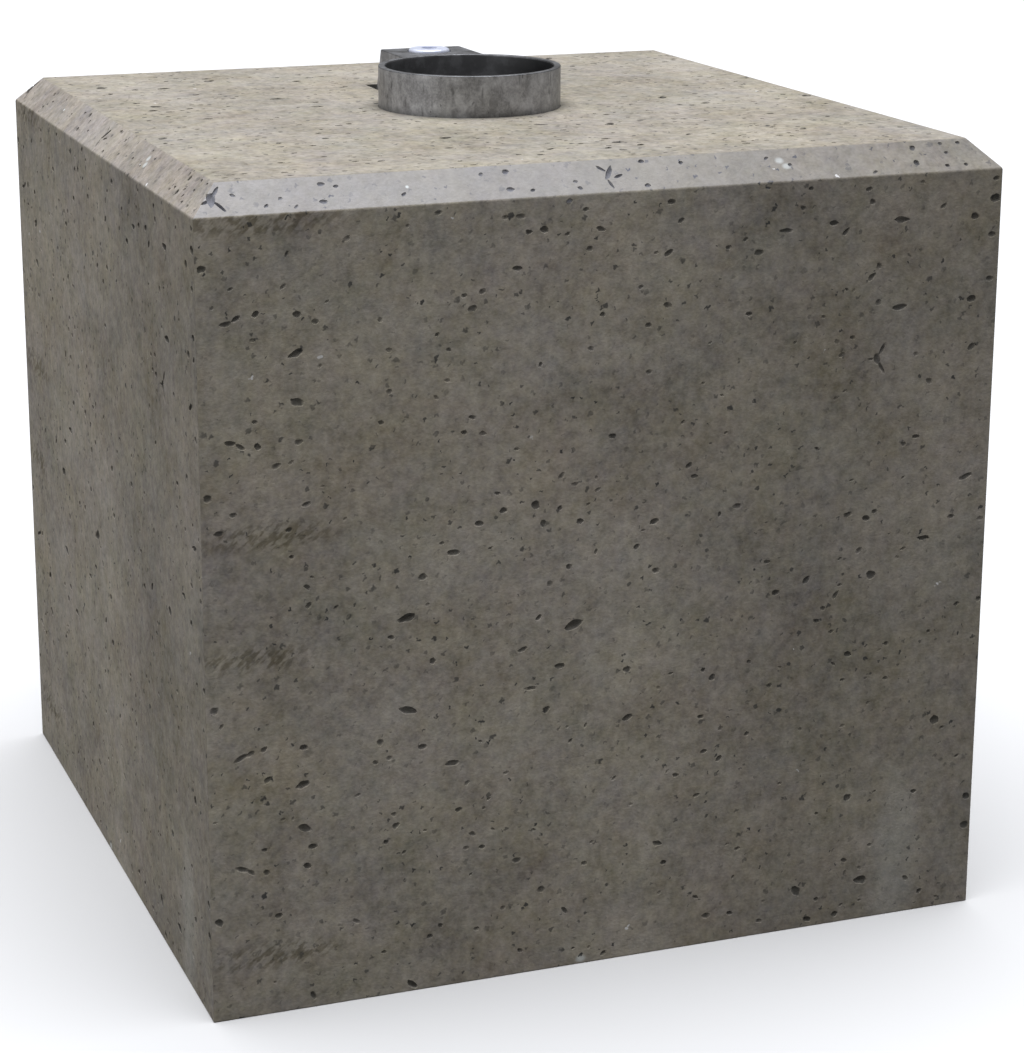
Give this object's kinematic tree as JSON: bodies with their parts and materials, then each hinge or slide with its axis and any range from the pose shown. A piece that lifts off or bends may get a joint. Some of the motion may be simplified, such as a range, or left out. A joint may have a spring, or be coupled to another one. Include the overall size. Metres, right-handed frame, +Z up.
{
  "type": "precast sign post foundation",
  "caption": "Square precast concrete block with chamfered top edges, a round steel post socket standing proud at its centre, and a lug with a hexagon-socket clamping bolt.",
  "frame": {"origin": "centre of the block's underside, on the axis of the post socket", "axes": "+Z up along the post, -Y towards the block's front, +Y towards the lug and its clamping bolt, +X to the right seen from the front"},
  "size_m": [0.59, 0.59, 0.6154],
  "materials": {
    "concrete": "cast concrete, weathered warm grey, with small dark bug holes and faint stains",
    "socket_steel": "dull galvanised steel, weathered to dark grey with soft vertical streaks",
    "bolt_steel": "bright zinc plate, bluish white"
  },
  "bodies": {
    "root": {"concrete_block": "concrete", "post_socket": "socket_steel", "clamping_bolt": "bolt_steel"}
  },
  "joints": []
}
